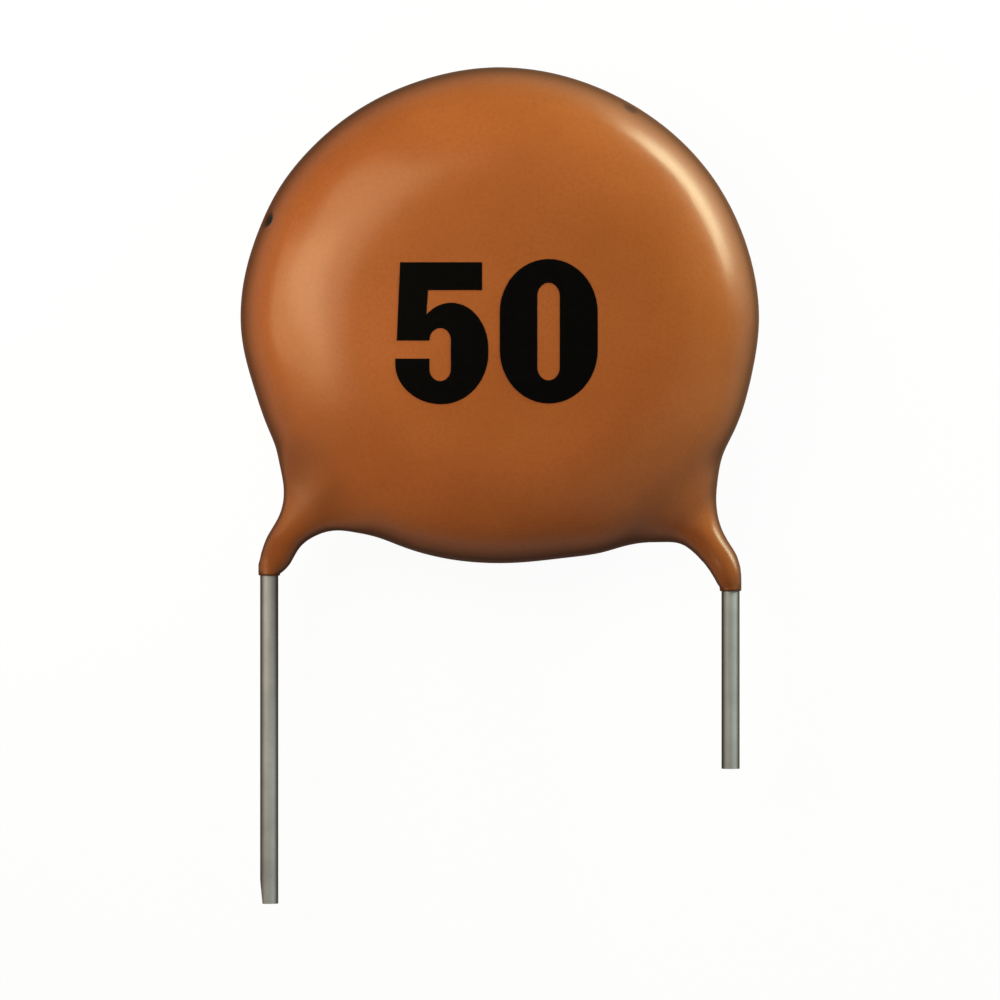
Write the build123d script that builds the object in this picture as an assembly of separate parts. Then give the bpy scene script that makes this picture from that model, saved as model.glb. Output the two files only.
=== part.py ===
from build123d import *
import math
import os

# Ceramic disc capacitor, lying on its rear face. Millimetres, +Z up, leads towards -Y.
# The origin is on the rear face, under the centre of the coating's upper arc.

# Ceramic disc and its fired silver electrodes
disc_diameter = 10.8
disc_thickness = 1.2
electrode_margin = 0.5
electrode_thickness = 0.02

# Tinned wire leads
lead_pitch = 12.7
lead_diameter = 0.5
long_lead_free = 9.0
short_lead_free = 4.85
long_lead_run = 3.7
short_lead_run = 4.02
lead_bend_set = 0.3
lead_rim_gap = 0.25
lead_inner_stop = 1.2
tip_nip_length = 0.66
tip_nip_depth = 0.07

# Solder beads
solder_film = 0.04
bead_width = 1.3
bead_height = 0.38
bead_overrun = 0.4
bead_slope_share = 0.75

# Dipped resin coating
face_cover = 1.4
side_cover = 1.77
top_cover = 1.5
belly_cover = 1.38
flat_share = 0.55
leg_end_wall = 0.06
leg_end_run = 0.6
heel_wall = 0.17
heel_shift = 0.16
shin_wall = 0.23
shin_run = 0.8
web_wall = 0.28
web_lift_share = 0.6
knee_out = 0.6
knee_width = 2.1
root_in = 0.9
root_width = 3.8
long_web_shift = 0.05
short_web_shift = 0.15
leg_blend = 1.8

# Sizes that follow from the ones above
disc_radius = disc_diameter / 2
disc_y = side_cover - top_cover
face_z = disc_thickness / 2
metal_z = face_z + electrode_thickness
lead_radius = lead_diameter / 2
wire_z = metal_z + solder_film + lead_radius
coat_radius = disc_radius + side_cover
coat_half = face_z + face_cover
belly_drop = disc_radius - disc_y + belly_cover
flat_radius = coat_radius * flat_share
half_pitch = lead_pitch / 2
disc_middle = Vector(0, disc_y, 0)
rim_reach = (coat_radius + belly_drop) / 2


class LeadPath:
    """The line one lead follows, from its free tip to its end on the disc."""

    def __init__(self, side, face, run, free, web_shift):
        reach = disc_radius + run
        drop = math.sqrt(reach**2 - half_pitch**2)
        self.side = side
        self.face = face
        self.run = run
        self.bend = Vector(side * half_pitch, disc_y - drop, 0)
        self.inward = (disc_middle - self.bend).normalized()
        self.rise = Vector(0, 0, face * wire_z)
        self.coat_end = self.bend - Vector(0, leg_end_run, 0)
        self.tip = self.coat_end - Vector(0, free, 0)
        self.rim = self.at(disc_radius + lead_rim_gap) + self.rise
        self.stop = self.at(lead_inner_stop) + self.rise
        self.slope = (self.rim - self.bend).normalized()
        self.across = self.inward.cross(Vector(0, 0, 1))
        self.web_shift = self.across * side * web_shift

    def at(self, distance):
        """The point of the mid plane at this distance from the disc's middle."""
        return disc_middle - self.inward * distance


def lead_wire(path):
    """One round wire, bent in two steps towards the disc and then set onto its face."""
    below = path.bend - Vector(0, lead_bend_set, 0)
    above = path.bend + path.slope * lead_bend_set
    line = Polyline(path.tip, below, above, path.rim, path.stop)
    section = Plane(path.tip, z_dir=(0, 1, 0)) * Circle(lead_radius)
    return sweep(section, path=line, transition=Transition.RIGHT)


def solder_bead(path, wire):
    """The sloped bead that holds a wire's inner end on the electrode."""
    outer = disc_radius - electrode_margin - bead_width / 2
    inner = lead_inner_stop - bead_overrun
    middle = path.at((outer + inner) / 2) + Vector(0, 0, path.face * metal_z)
    plane = Plane(middle, x_dir=path.inward, z_dir=(0, 0, path.face))
    block = extrude(plane * Rectangle(outer - inner + bead_width / 2, bead_width), bead_height)
    crown = block.faces().sort_by(Axis.Z)[-1 if path.face > 0 else 0]
    return chamfer(crown.edges(), bead_height * bead_slope_share) - wire


def web_section(path, distance, width):
    """An oval across one leg's web, deep enough to cover the wire that rises through it."""
    rim = disc_radius + lead_rim_gap
    fall = (distance - rim) / (disc_radius + path.run - rim)
    height = wire_z * (1 - max(fall, 0))
    lift = Vector(0, 0, path.face * height * web_lift_share)
    depth = height * (1 - web_lift_share) + lead_radius + web_wall
    middle = path.at(distance) + path.web_shift + lift
    return Plane(middle, x_dir=path.across, z_dir=path.inward) * Ellipse(width / 2, depth)


def coating_leg(path):
    """The sleeve of resin along one lead, spreading into a web where it meets the body."""
    up = Vector(0, 1, 0)
    lean = (path.inward + up).normalized()
    heel_middle = path.bend + (path.inward - up).normalized() * heel_shift
    end = Plane(path.coat_end, x_dir=(1, 0, 0), z_dir=up)
    heel = Plane(heel_middle, x_dir=lean.cross(Vector(0, 0, 1)), z_dir=lean)
    shin = Plane(path.bend + path.slope * shin_run, x_dir=path.across, z_dir=path.slope)
    return loft([
        end * Circle(lead_radius + leg_end_wall),
        heel * Circle(lead_radius + heel_wall),
        shin * Circle(lead_radius + shin_wall),
        web_section(path, rim_reach + knee_out, knee_width),
        web_section(path, rim_reach - root_in, root_width),
    ])


# The disc and its two electrodes
disc = Pos(0, disc_y, 0) * Cylinder(disc_radius, disc_thickness)
film = Cylinder(disc_radius - electrode_margin, electrode_thickness)
front_film = Pos(0, disc_y, face_z + electrode_thickness / 2) * film
rear_film = Pos(0, disc_y, -face_z - electrode_thickness / 2) * film

# The leads, one on each face of the disc, and their beads
long_path = LeadPath(-1, 1, long_lead_run, long_lead_free, long_web_shift)
short_path = LeadPath(1, -1, short_lead_run, short_lead_free, short_web_shift)
long_wire = lead_wire(long_path)
short_wire = lead_wire(short_path)
front_bead = solder_bead(long_path, long_wire)
rear_bead = solder_bead(short_path, short_wire)

# The coating: a domed disc, flatter below, with a leg along each lead
with BuildSketch(Plane.XZ) as half_lens:
    with BuildLine():
        Line((0, -coat_half), (0, coat_half))
        Line((0, coat_half), (flat_radius, coat_half))
        EllipticalCenterArc(
            (flat_radius, 0), coat_radius - flat_radius, coat_half, start_angle=-90, arc_size=180
        )
        Line((flat_radius, -coat_half), (0, -coat_half))
    make_face()
upper_body = revolve(half_lens.sketch, Axis.Z, 180)
lower_body = mirror(scale(upper_body, (1, belly_drop / coat_radius, 1)), Plane.XZ)
body = upper_body + lower_body
legs = [coating_leg(long_path), coating_leg(short_path)]
dipped = body + legs
dipped = fillet(new_edges(body, *legs, combined=dipped), leg_blend)
coating = dipped - [disc, front_film, rear_film, long_wire, short_wire, front_bead, rear_bead]

# The long lead's tip, nipped by the cutter on its outer side
tip_out = long_path.tip - Vector(lead_radius, 0, 0)
nip_in = tip_out + Vector(tip_nip_depth, 0, 0)
nip_up = tip_out + Vector(0, tip_nip_length, 0)
nip_face = make_face(Polyline(tip_out, nip_in, nip_up, close=True))
long_wire = long_wire - extrude(nip_face, lead_diameter, both=True)

nodes = {
    "coating": coating,
    "ceramic_disc": disc,
    "front_electrode": front_film,
    "rear_electrode": rear_film,
    "long_lead": long_wire,
    "short_lead": short_wire,
    "front_solder": front_bead,
    "rear_solder": rear_bead,
}

# Each piece is raised so that the rear face rests at zero height
os.makedirs("parts", exist_ok=True)
for name, shape in nodes.items():
    export_step(Pos(0, 0, coat_half) * shape, f"parts/{name}.step")
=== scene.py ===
import math

import bmesh
import bpy
from mathutils import Euler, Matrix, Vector, noise
from mathutils.bvhtree import BVHTree


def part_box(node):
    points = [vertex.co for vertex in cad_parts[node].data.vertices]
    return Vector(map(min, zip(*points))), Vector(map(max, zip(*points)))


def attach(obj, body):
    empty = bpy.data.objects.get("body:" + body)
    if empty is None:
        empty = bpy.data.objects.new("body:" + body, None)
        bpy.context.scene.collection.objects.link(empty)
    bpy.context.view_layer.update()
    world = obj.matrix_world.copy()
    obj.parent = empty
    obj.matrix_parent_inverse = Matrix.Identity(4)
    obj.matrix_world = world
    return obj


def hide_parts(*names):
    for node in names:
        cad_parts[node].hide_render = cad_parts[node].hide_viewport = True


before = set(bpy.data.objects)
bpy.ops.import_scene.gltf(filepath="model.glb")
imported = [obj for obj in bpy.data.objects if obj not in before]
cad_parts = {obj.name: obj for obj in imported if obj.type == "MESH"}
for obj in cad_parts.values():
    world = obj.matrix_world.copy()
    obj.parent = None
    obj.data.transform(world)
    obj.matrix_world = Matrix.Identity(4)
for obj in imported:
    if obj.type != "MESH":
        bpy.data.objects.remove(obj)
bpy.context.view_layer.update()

# Units and the frame's own sizes

MM = 0.001

coat_low, coat_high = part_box("coating")
long_low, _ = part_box("long_lead")
_, short_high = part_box("short_lead")
coat_radius = coat_high.x
coat_half = (coat_high.z - coat_low.z) / 2
coat_middle = coat_low.z + coat_half
wire_radius = short_high.z - coat_middle
lead_pitch = short_high.x - long_low.x - 2 * wire_radius

# The photograph's frame, in its pixels

PHOTO_PIXELS = 1000
PITCH_PIXELS = 461.3
CENTRE_PIXEL = (499.9, 327.7)

pixel = lead_pitch / PITCH_PIXELS


def on_plan(column, row):
    """Where a pixel of the photograph lies on the part, seen from straight above."""
    return Vector(((column - CENTRE_PIXEL[0]) * pixel, (CENTRE_PIXEL[1] - row) * pixel, coat_middle))


# Camera: straight above the printed face, with a long lens

LENS = 200
SENSOR = 36
CLIP_RANGE = 100

aim = on_plan(PHOTO_PIXELS / 2, PHOTO_PIXELS / 2)
camera_height = PHOTO_PIXELS * pixel * LENS / SENSOR
camera_data = bpy.data.cameras.new("camera")
camera_data.lens = LENS
camera_data.sensor_width = SENSOR
camera_data.clip_start = camera_height / CLIP_RANGE
camera_data.clip_end = camera_height * CLIP_RANGE
camera = bpy.data.objects.new("camera", camera_data)
camera.location = aim + Vector((0, 0, camera_height))
bpy.context.scene.collection.objects.link(camera)
bpy.context.scene.camera = camera

# Materials

# The colour sockets of a Mix node
MIX_A = 6
MIX_B = 7
MIX_RESULT = 2


def srgb(code):
    """A hex colour as it looks on screen, turned to linear light."""
    levels = [int(code[i:i + 2], 16) / 255 for i in (1, 3, 5)]
    return tuple(c / 12.92 if c <= 0.04045 else ((c + 0.055) / 1.055) ** 2.4 for c in levels) + (1,)


def per_metre(size):
    """The scale of a pattern whose features are this many millimetres apart."""
    return 1 / (size * MM)


def add_node(tree, kind, inputs=None, stops=None, **settings):
    """Adds one node, with its settings, its inputs as plain values or links, and a ramp's stops."""
    node = tree.nodes.new(kind)
    for name, value in settings.items():
        setattr(node, name, value)
    for socket, value in (inputs or {}).items():
        if isinstance(value, bpy.types.NodeSocket):
            tree.links.new(value, node.inputs[socket])
        else:
            node.inputs[socket].default_value = value
    for i, (position, colour) in enumerate((stops or {}).items()):
        node.color_ramp.elements[i].position = position
        node.color_ramp.elements[i].color = srgb(colour)
    return node


def new_material(name):
    """An empty material with its shader linked to the output, and the piece's own coordinates."""
    material = bpy.data.materials.new(name)
    material.use_nodes = True
    tree = material.node_tree
    tree.nodes.clear()
    shader = add_node(tree, "ShaderNodeBsdfPrincipled")
    add_node(tree, "ShaderNodeOutputMaterial", {"Surface": shader.outputs["BSDF"]})
    place = add_node(tree, "ShaderNodeTexCoord").outputs["Object"]
    return material, tree, shader, place


def dipped_resin():
    """Phenolic resin, dipped and baked: opaque brown, mottled by its filler, with a waxed gloss and a
    faint orange peel. It is darker where it is drawn thin over the wires. It carries painted shade
    round its rim and along its left flank and neck, and painted black shade in its pit and nick, and
    its gloss is duller in all of these."""
    material, tree, shader, place = new_material("dipped_resin")
    cloud = add_node(tree, "ShaderNodeTexNoise",
                     {"Vector": place, "Scale": per_metre(3.2), "Detail": 3.0, "Roughness": 0.55})
    tone = add_node(tree, "ShaderNodeValToRGB", {"Fac": cloud.outputs["Fac"]},
                    {0.3: "#964F23", 0.7: "#9F5628"})
    filler = add_node(tree, "ShaderNodeTexNoise",
                      {"Vector": place, "Scale": per_metre(0.1), "Detail": 1.0})
    speck = add_node(tree, "ShaderNodeValToRGB", {"Fac": filler.outputs["Fac"]},
                     {0.3: "#F4F4F4", 0.6: "#FFFFFF"})
    body = add_node(tree, "ShaderNodeMix",
                    {"Factor": 1.0, MIX_A: tone.outputs["Color"], MIX_B: speck.outputs["Color"]},
                    data_type="RGBA", blend_type="MULTIPLY")
    colour = body.outputs[MIX_RESULT]
    # Of these three masks, the thin mask darkens where the resin is drawn thin over the wires. The rim
    # mask is painted shade round the rim and along the left flank and neck. The pit mask is painted
    # black shade in the pit and the nick.
    for attribute, shade in (("thin", "#82451F"), ("rim", "#4E260D"), ("pit", "#080503")):
        share = add_node(tree, "ShaderNodeAttribute", attribute_name=attribute).outputs["Fac"]
        colour = add_node(tree, "ShaderNodeMix", {"Factor": share, MIX_A: colour, MIX_B: srgb(shade)},
                          data_type="RGBA").outputs[MIX_RESULT]
    rim = add_node(tree, "ShaderNodeAttribute", attribute_name="rim")
    pit = add_node(tree, "ShaderNodeAttribute", attribute_name="pit")
    bare = add_node(tree, "ShaderNodeMath", {0: rim.outputs["Fac"], 1: pit.outputs["Fac"]},
                    operation="MAXIMUM")
    waxed = add_node(tree, "ShaderNodeMapRange",
                     {"Value": cloud.outputs["Fac"], "To Min": 0.23, "To Max": 0.28})
    dull = add_node(tree, "ShaderNodeMapRange",
                    {"Value": bare.outputs[0], "To Min": waxed.outputs["Result"], "To Max": 0.95})
    peel = add_node(tree, "ShaderNodeTexNoise",
                    {"Vector": place, "Scale": per_metre(0.7), "Detail": 1.5})
    relief = add_node(tree, "ShaderNodeBump",
                      {"Height": peel.outputs["Fac"], "Strength": 0.25, "Distance": 0.02 * MM})
    tree.links.new(colour, shader.inputs["Base Color"])
    tree.links.new(dull.outputs["Result"], shader.inputs["Roughness"])
    tree.links.new(relief.outputs["Normal"], shader.inputs["Normal"])
    shader.inputs["IOR"].default_value = 1.5
    shader.inputs["Specular IOR Level"].default_value = 0.42
    shader.inputs["Specular Tint"].default_value = srgb("#FFE7D2")
    return material


def tinned_wire():
    """Copper-clad steel wire, drawn and hot tinned: a grey metal, with fine drawing lines along its
    length and soft clouds of oxide, and painted shade that darkens its sides as they turn from straight
    up."""
    material, tree, shader, place = new_material("tinned_wire")
    along = add_node(tree, "ShaderNodeMapping",
                     {"Vector": place, "Scale": (per_metre(0.05), per_metre(3.0), per_metre(0.05))})
    lines = add_node(tree, "ShaderNodeTexNoise",
                     {"Vector": along.outputs["Vector"], "Scale": 1.0, "Detail": 2.0})
    oxide = add_node(tree, "ShaderNodeTexNoise",
                     {"Vector": place, "Scale": per_metre(0.9), "Detail": 4.0})
    tone = add_node(tree, "ShaderNodeValToRGB", {"Fac": oxide.outputs["Fac"]},
                    {0.3: "#A9A9AE", 0.75: "#BBBBC0"})
    # Painted shade: the metal's colour darkens to #5A544D on its sides as its surface turns from
    # straight up
    facing = add_node(tree, "ShaderNodeNewGeometry").outputs["Normal"]
    height = add_node(tree, "ShaderNodeSeparateXYZ", {"Vector": facing}).outputs["Z"]
    ridge = add_node(tree, "ShaderNodeMath", {0: height}, operation="ABSOLUTE")
    upward_share = add_node(tree, "ShaderNodeMapRange",
                      {"Value": ridge.outputs[0], "From Min": 0.5, "From Max": 0.98},
                      interpolation_type="SMOOTHSTEP")
    shaded_tone = add_node(tree, "ShaderNodeMix",
                    {"Factor": upward_share.outputs["Result"], MIX_A: srgb("#5A544D"),
                     MIX_B: tone.outputs["Color"]}, data_type="RGBA")
    dull = add_node(tree, "ShaderNodeMapRange",
                    {"Value": lines.outputs["Fac"], "To Min": 0.66, "To Max": 0.78})
    relief = add_node(tree, "ShaderNodeBump",
                      {"Height": lines.outputs["Fac"], "Strength": 0.4, "Distance": 0.006 * MM})
    tree.links.new(shaded_tone.outputs[MIX_RESULT], shader.inputs["Base Color"])
    tree.links.new(dull.outputs["Result"], shader.inputs["Roughness"])
    tree.links.new(relief.outputs["Normal"], shader.inputs["Normal"])
    shader.inputs["Metallic"].default_value = 1.0
    shader.inputs["Specular Tint"].default_value = srgb("#5A5752")
    return material


def marking_ink():
    """Black marking ink, stamped and baked: a thin dense film, a little duller than the resin."""
    material, tree, shader, place = new_material("marking_ink")
    film = add_node(tree, "ShaderNodeTexNoise",
                    {"Vector": place, "Scale": per_metre(0.25), "Detail": 3.0})
    tone = add_node(tree, "ShaderNodeValToRGB", {"Fac": film.outputs["Fac"]},
                    {0.3: "#010101", 0.75: "#040303"})
    dull = add_node(tree, "ShaderNodeMapRange",
                    {"Value": film.outputs["Fac"], "To Min": 0.5, "To Max": 0.65})
    tree.links.new(tone.outputs["Color"], shader.inputs["Base Color"])
    tree.links.new(dull.outputs["Result"], shader.inputs["Roughness"])
    shader.inputs["Specular IOR Level"].default_value = 0.03
    return material


def fired_material(name, dark, light, grain, roughness, metallic):
    """A sealed inner finish: two close tones in grains of one size, matte or metallic."""
    material, tree, shader, place = new_material(name)
    grains = add_node(tree, "ShaderNodeTexNoise",
                      {"Vector": place, "Scale": per_metre(grain), "Detail": 3.0})
    tone = add_node(tree, "ShaderNodeValToRGB", {"Fac": grains.outputs["Fac"]}, {0.3: dark, 0.7: light})
    relief = add_node(tree, "ShaderNodeBump",
                      {"Height": grains.outputs["Fac"], "Strength": 0.3, "Distance": 0.01 * MM})
    tree.links.new(tone.outputs["Color"], shader.inputs["Base Color"])
    tree.links.new(relief.outputs["Normal"], shader.inputs["Normal"])
    shader.inputs["Roughness"].default_value = roughness
    shader.inputs["Metallic"].default_value = metallic
    return material


# Pieces

LEADS = ("long_lead", "short_lead")
SEALED = ("ceramic_disc", "front_electrode", "rear_electrode", "front_solder", "rear_solder")

# The coat's mesh, and how it is worked; a steepness is the upward share of a surface's normal
MERGE = 0.001 * MM
LINING_REACH = 0.03 * MM
VOXEL = 0.09 * MM
MESH_TILT = (0.55, 0.4, 0.3)
RELAX_SHARE = 0.5
SMOOTH_ROUNDS = 8
SETTLE_ROUNDS = 16
FACE_ROUNDS = 60
FACE_STEEPNESS = 0.45
FLAT_STEEPNESS = 0.85
LEAST_WALL = 0.05 * MM
THIN_WALL = 0.45 * MM
# The painted rim shade fades out as a surface's steepness rises between these two shares
RIM_STEEPNESS = (0.35, 0.9)
RIPPLE_SIZE = 3.0 * MM
RIPPLE_DEPTH = 0.035 * MM

# Flaws in the coat: pixel column and row, then height above the middle, radius and depth in
# millimetres, and share of black painted as shade in the hollow, which sets in between two shares of
# the depth
RIM_PIT = (269, 221, 0.6, 0.32, 0.12, 1.0)
RIM_NICK = (630, 110, 0.65, 0.3, 0.03, 0.5)
FLAW_EDGE = (0.1, 0.6)

# Painted shade along the left flank and over the left neck: pixel column and row, radius in
# millimetres, share
PAINTED_SHADE_PATCHES = (
    (266, 420, 1.0, 0.45),
    (288, 468, 1.2, 0.65),
    (330, 508, 1.0, 0.3),
)

# Where the dip set unevenly: pixel column and row, radius in millimetres, pixels right and up
SAGS = (
    (250, 392, 1.4, 4.5, 0),
    (750, 372, 1.2, -3, 0),
    (716, 500, 1.7, 4.5, 0),
    (285, 180, 1.4, -2.5, 0),
    (333, 536, 0.7, 0, 6),
    (292, 560, 0.35, 2, -5),
    (620, 542, 1.3, 0, -9),
    (682, 547, 0.5, 0, 5),
    (268, 532, 0.5, -3.5, 0),
    (733, 556, 0.5, 3.5, 0),
)


def new_piece(name, shape, material, smooth=True, replaced=()):
    """Makes a bmesh into a piece that rides on the part and stands for the replaced nodes."""
    mesh = bpy.data.meshes.new(name)
    shape.to_mesh(mesh)
    shape.free()
    mesh.materials.append(material)
    for face in mesh.polygons:
        face.use_smooth = smooth
    piece = bpy.data.objects.new(name, mesh)
    bpy.context.scene.collection.objects.link(piece)
    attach(piece, "root")
    if replaced:
        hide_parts(*replaced)
    return piece


def inner_tree(names):
    """A search tree over the surfaces of some CAD nodes."""
    joined = bmesh.new()
    for name in names:
        joined.from_mesh(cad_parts[name].data)
    tree = BVHTree.FromBMesh(joined)
    joined.free()
    return tree


def outer_skin():
    """The coat's outside alone: a merged copy of its CAD solid, without the cavity's lining."""
    skin = bmesh.new()
    skin.from_mesh(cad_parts["coating"].data)
    bmesh.ops.remove_doubles(skin, verts=skin.verts, dist=MERGE)
    inner = inner_tree(LEADS + SEALED)
    lining = [face for face in skin.faces
              if all(inner.find_nearest(vert.co)[3] < LINING_REACH for vert in face.verts)]
    bmesh.ops.delete(skin, geom=lining, context="FACES")
    bmesh.ops.holes_fill(skin, edges=[edge for edge in skin.edges if edge.is_boundary])
    return skin


def evenly_meshed(shape):
    """The same closed shape with small even faces, so that it can be worked like wet resin. It is
    meshed on a tilt, so that the rows of faces leave no steps along its flat sides."""
    tilt = Euler(MESH_TILT).to_matrix().to_4x4()
    bmesh.ops.transform(shape, matrix=tilt, verts=shape.verts)
    mesh = bpy.data.meshes.new("even")
    shape.to_mesh(mesh)
    shape.free()
    holder = bpy.data.objects.new("even", mesh)
    bpy.context.scene.collection.objects.link(holder)
    remesh = holder.modifiers.new("remesh", "REMESH")
    remesh.mode = "VOXEL"
    remesh.voxel_size = VOXEL
    seen = bpy.context.evaluated_depsgraph_get()
    even = bpy.data.meshes.new_from_object(holder.evaluated_get(seen))
    bpy.data.objects.remove(holder)
    bpy.data.meshes.remove(mesh)
    result = bmesh.new()
    result.from_mesh(even)
    bpy.data.meshes.remove(even)
    bmesh.ops.transform(result, matrix=tilt.inverted(), verts=result.verts)
    return result


def fade(value, start, end):
    """Rises smoothly from 0 at the start to 1 at the end."""
    share = min(max((value - start) / (end - start), 0), 1)
    return share * share * (3 - 2 * share)


def nearness(vert, column, row, radius):
    """1 over a pixel of the photograph, falling off round it over a radius in millimetres."""
    away = (vert.co.xy - on_plan(column, row).xy).length
    return math.exp(-(away / (radius * MM)) ** 2)


def relax(coat, verts, axes="xyz"):
    """Moves some verts towards their neighbours, along some axes, as wet resin levels itself."""
    bmesh.ops.smooth_vert(coat, verts=verts, factor=RELAX_SHARE, use_axis_x="x" in axes,
                          use_axis_y="y" in axes, use_axis_z="z" in axes)


def sag(coat):
    """Pulls the outline where the dip set unevenly."""
    for vert in coat.verts:
        for column, row, radius, right, up in SAGS:
            pull = nearness(vert, column, row, radius) * pixel
            vert.co += Vector((right, up, 0)) * pull


def level_faces(coat):
    """Lets the two faces level out, so that no facet of the solid shows in their gloss."""
    coat.normal_update()
    faces = [vert for vert in coat.verts
             if abs(vert.normal.z) > FACE_STEEPNESS and vert.co.xy.length < coat_radius]
    flats = [vert for vert in faces if abs(vert.normal.z) > FLAT_STEEPNESS]
    for _ in range(FACE_ROUNDS):
        relax(coat, flats, "xy")
        relax(coat, faces, "z")


def ripple(coat):
    """Adds the soft, shallow waves of a dipped surface."""
    coat.normal_update()
    for vert in coat.verts:
        vert.co += vert.normal * RIPPLE_DEPTH * noise.noise(vert.co / RIPPLE_SIZE)


def cut_flaws(coat):
    """Sinks the pit and the nick into the edge, and notes how much painted black shade fills them."""
    coat.normal_update()
    pit = coat.verts.layers.float.new("pit")
    for column, row, height, radius, depth, black in (RIM_PIT, RIM_NICK):
        centre = on_plan(column, row) + Vector((0, 0, height * MM))
        for vert in coat.verts:
            away = (vert.co - centre).length / (radius * MM)
            if away < 1:
                dent = (1 - away ** 2) ** 2
                vert.co -= vert.normal * (depth * MM) * dent
                vert[pit] = max(vert[pit], black * fade(dent, *FLAW_EDGE))


def shade_rim(coat):
    """Notes where the coat gets painted shade: round its rim, and along its left flank and neck."""
    rim = coat.verts.layers.float.new("rim")
    for vert in coat.verts:
        vert[rim] = 1 - fade(abs(vert.normal.z), *RIM_STEEPNESS)
        for column, row, radius, share in PAINTED_SHADE_PATCHES:
            vert[rim] = max(vert[rim], share * nearness(vert, column, row, radius))


def keep_walls(coat):
    """Keeps a least wall of resin over the wires, and notes where it is thin."""
    wires = inner_tree(LEADS)
    thin = coat.verts.layers.float.new("thin")
    for vert in coat.verts:
        point, normal, _, wall = wires.find_nearest(vert.co)
        inside = (vert.co - point).dot(normal) < 0
        if inside or wall < LEAST_WALL:
            vert.co = point + normal * LEAST_WALL
        vert[thin] = 1 - fade(wall, LEAST_WALL, THIN_WALL)


def dipped_coat(material):
    """The resin coat as it sets: soft sags and ripples, thin walls kept over the wires."""
    coat = evenly_meshed(outer_skin())
    for _ in range(SMOOTH_ROUNDS):
        relax(coat, coat.verts)
    sag(coat)
    for _ in range(SETTLE_ROUNDS):
        relax(coat, coat.verts)
    level_faces(coat)
    ripple(coat)
    cut_flaws(coat)
    shade_rim(coat)
    keep_walls(coat)
    return new_piece("resin_coat", coat, material, replaced=["coating"])


# The value mark: plain heavy figures, in millimetres from the mark's lower left corner

INK_FILM = 0.012 * MM
INK_SUNK = 0.03 * MM
INK_PITCH = 0.3 * MM
ARC_STEPS = 24
MARK_PIXEL = (395.5, 405.5)


def arc(centre, reach, start, end):
    """Points along part of an ellipse, between two angles in degrees."""
    angles = [math.radians(start + (end - start) * i / ARC_STEPS) for i in range(ARC_STEPS + 1)]
    return [(centre[0] + reach[0] * math.cos(a), centre[1] + reach[1] * math.sin(a)) for a in angles]


def rounded_slot(left, bottom, right, top, rounding):
    """An upright slot whose four corners are parts of an ellipse."""
    half = (right - left) / 2
    middle = left + half
    return (arc((middle, top - rounding), (half, rounding), 0, 180)
            + arc((middle, bottom + rounding), (half, rounding), 180, 360))


def figure_nought():
    """The nought's outline and its counter."""
    return [rounded_slot(2.87, 0.02, 5.53, 3.95, 1.45), rounded_slot(3.89, 0.65, 4.5, 3.3, 0.36)]


def figure_five():
    """The five's outline, from its upper left corner round its bowl to its flag."""
    outline = [(0.16, 3.86), (0.07, 1.73), (0.96, 1.73)]
    outline += arc((1.25, 1.74), (0.29, 0.33), 180, 0)
    outline += arc((1.25, 0.96), (0.29, 0.33), 0, -180)
    outline += [(0.96, 1.24), (0.03, 1.24)]
    outline += arc((1.28, 1.1), (1.25, 1.1), 180, 270)
    outline += arc((1.28, 1.4), (1.28, 1.4), 270, 360)
    outline += arc((1.55, 1.5), (1.01, 1.26), 0, 132)
    outline += [(0.88, 2.47), (0.92, 3.1), (2.39, 3.1), (2.39, 3.86)]
    return [outline]


def flat_figures():
    """The figures as flat faces, cut small enough to follow a crowned face."""
    ink = bmesh.new()
    corner = on_plan(*MARK_PIXEL)
    for outlines in (figure_five(), figure_nought()):
        for outline in outlines:
            verts = [ink.verts.new(corner + Vector((x, y, 0)) * MM) for x, y in outline]
            for start, end in zip(verts, verts[1:] + verts[:1]):
                ink.edges.new((start, end))
        bmesh.ops.remove_doubles(ink, verts=ink.verts, dist=MERGE)
        edges = [edge for edge in ink.edges if not edge.link_faces]
        bmesh.ops.triangle_fill(ink, use_beauty=True, edges=edges, normal=(0, 0, 1))
    for axis in (Vector((1, 0, 0)), Vector((0, 1, 0))):
        places = [vert.co.dot(axis) for vert in ink.verts]
        step = min(places) + INK_PITCH
        while step < max(places):
            geometry = list(ink.verts) + list(ink.edges) + list(ink.faces)
            bmesh.ops.bisect_plane(ink, geom=geometry, dist=MERGE, plane_co=axis * step, plane_no=axis)
            step += INK_PITCH
    return ink


def value_mark(material, coat):
    """The figures as one thin film of ink that lies on the coat's crowned face."""
    ink = flat_figures()
    skin = BVHTree.FromPolygons([vert.co for vert in coat.data.vertices],
                                [face.vertices for face in coat.data.polygons])
    above = coat_high.z + coat_half
    for vert in ink.verts:
        hit = skin.ray_cast(Vector((vert.co.x, vert.co.y, above)), Vector((0, 0, -1)))[0]
        vert.co.z = hit.z - INK_SUNK
    bmesh.ops.recalc_face_normals(ink, faces=ink.faces)
    raised = bmesh.ops.extrude_face_region(ink, geom=list(ink.faces), use_keep_orig=True)
    lifted = [part for part in raised["geom"] if isinstance(part, bmesh.types.BMVert)]
    bmesh.ops.translate(ink, verts=lifted, vec=(0, 0, INK_SUNK + INK_FILM))
    bmesh.ops.recalc_face_normals(ink, faces=ink.faces)
    return new_piece("value_mark", ink, material, smooth=False)


coat = dipped_coat(dipped_resin())
value_mark(marking_ink(), coat)

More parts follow.
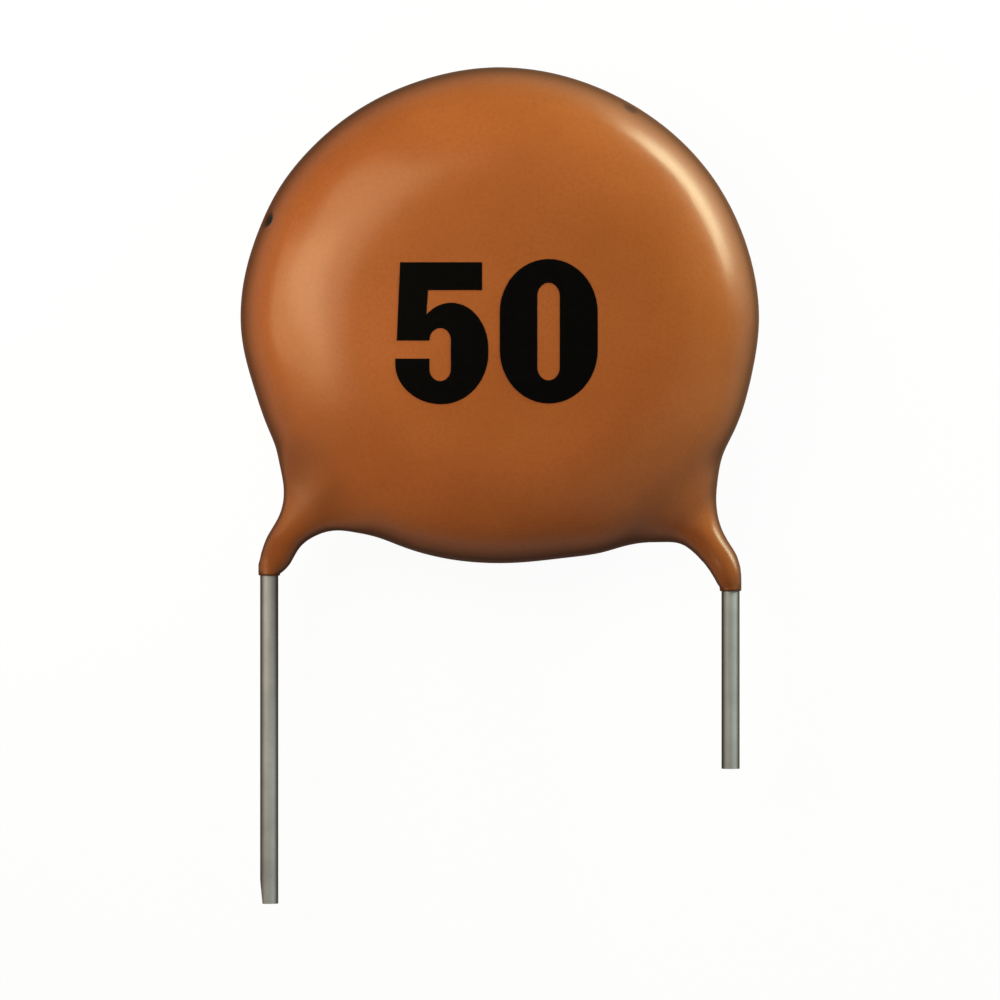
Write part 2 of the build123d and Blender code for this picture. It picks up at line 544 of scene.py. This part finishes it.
inner_finishes = {
    # Titania ceramic, pressed and fired: a pale matte buff
    "ceramic_disc": fired_material("fired_titania", "#C9B48C", "#DCCBA6",
                                   grain=0.3, roughness=0.75, metallic=0.0),
    # Silver paste, screened and fired: a pale metal with a fine grain
    "electrode": fired_material("fired_silver", "#BDBBB6", "#D6D4CF",
                                grain=0.12, roughness=0.5, metallic=1.0),
    # Soft solder, flowed and set: a grey metal, smooth and a little cloudy
    "solder": fired_material("flowed_solder", "#8E9092", "#A9ABAC",
                             grain=0.5, roughness=0.35, metallic=1.0),
    # Copper-clad steel wire, drawn and hot tinned
    "lead": tinned_wire(),
}
for name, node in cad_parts.items():
    for ending, finish in inner_finishes.items():
        if name.endswith(ending):
            node.data.materials.clear()
            node.data.materials.append(finish)

# Floor, world and lamps

FLOOR_SIDE = 2.0
FLOOR_WHITE_SHARE = 0.95
WALL_LEVEL = 0.24
CEILING_LEVEL = 0.17
WALL_TOP = 0.15
CEILING_FROM = 0.6

# Lamps: degrees from +X towards +Y, degrees up, millimetres away, wide and high, watts, colour
LAMPS = {
    "window": (152, 54, 28, 20, 20, 0.0042, "#FFFADC"),
    "glow": (174, 41, 30, 18, 22, 0.0050, "#FFF2C8"),
    "strip": (37, 10, 60, 42, 17, 0.064, "#EAFFE4"),
    "fill": (322, 34, 60, 60, 60, 0.0040, "#FFF4E0"),
}


def seen_directly(tree):
    """1 for rays that show the background itself: camera, glossy and transmission rays."""
    path = add_node(tree, "ShaderNodeLightPath")
    shown = path.outputs["Is Camera Ray"]
    for kind in ("Is Glossy Ray", "Is Transmission Ray"):
        shown = add_node(tree, "ShaderNodeMath", {0: shown, 1: path.outputs[kind]},
                         operation="MAXIMUM").outputs[0]
    return shown


def white_floor():
    """A white sheet under the part. Most of its white is its own, and the rest keeps the shadow."""
    shape = bmesh.new()
    bmesh.ops.create_grid(shape, x_segments=1, y_segments=1, size=FLOOR_SIDE / 2)
    mesh = bpy.data.meshes.new("floor")
    shape.to_mesh(mesh)
    shape.free()
    floor = bpy.data.objects.new("floor", mesh)
    bpy.context.scene.collection.objects.link(floor)
    material = bpy.data.materials.new("white_sheet")
    material.use_nodes = True
    tree = material.node_tree
    tree.nodes.clear()
    shown = seen_directly(tree)
    tint = add_node(tree, "ShaderNodeMix",
                    {"Factor": shown, MIX_A: srgb("#8C8C8C"), MIX_B: srgb("#FFFFFF")}, data_type="RGBA")
    paper = add_node(tree, "ShaderNodeBsdfDiffuse", {"Color": tint.outputs[MIX_RESULT]})
    glow = add_node(tree, "ShaderNodeEmission", {"Color": srgb("#FFFFFF"), "Strength": 1.0})
    share = add_node(tree, "ShaderNodeMath", {0: shown, 1: FLOOR_WHITE_SHARE}, operation="MULTIPLY")
    mixed = add_node(tree, "ShaderNodeMixShader",
                     {0: share.outputs[0], 1: paper.outputs[0], 2: glow.outputs[0]})
    add_node(tree, "ShaderNodeOutputMaterial", {"Surface": mixed.outputs[0]})
    mesh.materials.append(material)


def plain_world():
    """A studio with grey walls and a darker ceiling."""
    world = bpy.data.worlds.new("studio")
    world.use_nodes = True
    tree = world.node_tree
    tree.nodes.clear()
    way = add_node(tree, "ShaderNodeTexCoord").outputs["Generated"]
    rise = add_node(tree, "ShaderNodeSeparateXYZ", {"Vector": way}).outputs["Z"]
    level = add_node(tree, "ShaderNodeMapRange",
                     {"Value": rise, "From Min": WALL_TOP, "From Max": CEILING_FROM,
                      "To Min": WALL_LEVEL, "To Max": CEILING_LEVEL}, interpolation_type="SMOOTHSTEP")
    light = add_node(tree, "ShaderNodeBackground",
                     {"Color": srgb("#FFFFFF"), "Strength": level.outputs["Result"]})
    add_node(tree, "ShaderNodeOutputWorld", {"Surface": light.outputs[0]})
    bpy.context.scene.world = world


def soft_lamp(name, azimuth, elevation, distance, width, height, power, colour):
    """A rectangular lamp beside the part, aimed at its middle."""
    data = bpy.data.lights.new(name, "AREA")
    data.shape = "RECTANGLE"
    data.size = width * MM
    data.size_y = height * MM
    data.energy = power
    data.color = srgb(colour)[:3]
    lamp = bpy.data.objects.new(name, data)
    turn = math.radians(azimuth)
    rise = math.radians(elevation)
    away = Vector((math.cos(turn) * math.cos(rise), math.sin(turn) * math.cos(rise), math.sin(rise)))
    lamp.location = Vector((0, 0, coat_middle)) + away * distance * MM
    lamp.rotation_euler = away.to_track_quat("Z", "Y").to_euler()
    bpy.context.scene.collection.objects.link(lamp)


white_floor()
plain_world()
for name, values in LAMPS.items():
    soft_lamp(name, *values)

bpy.context.scene.view_settings.view_transform = "Standard"
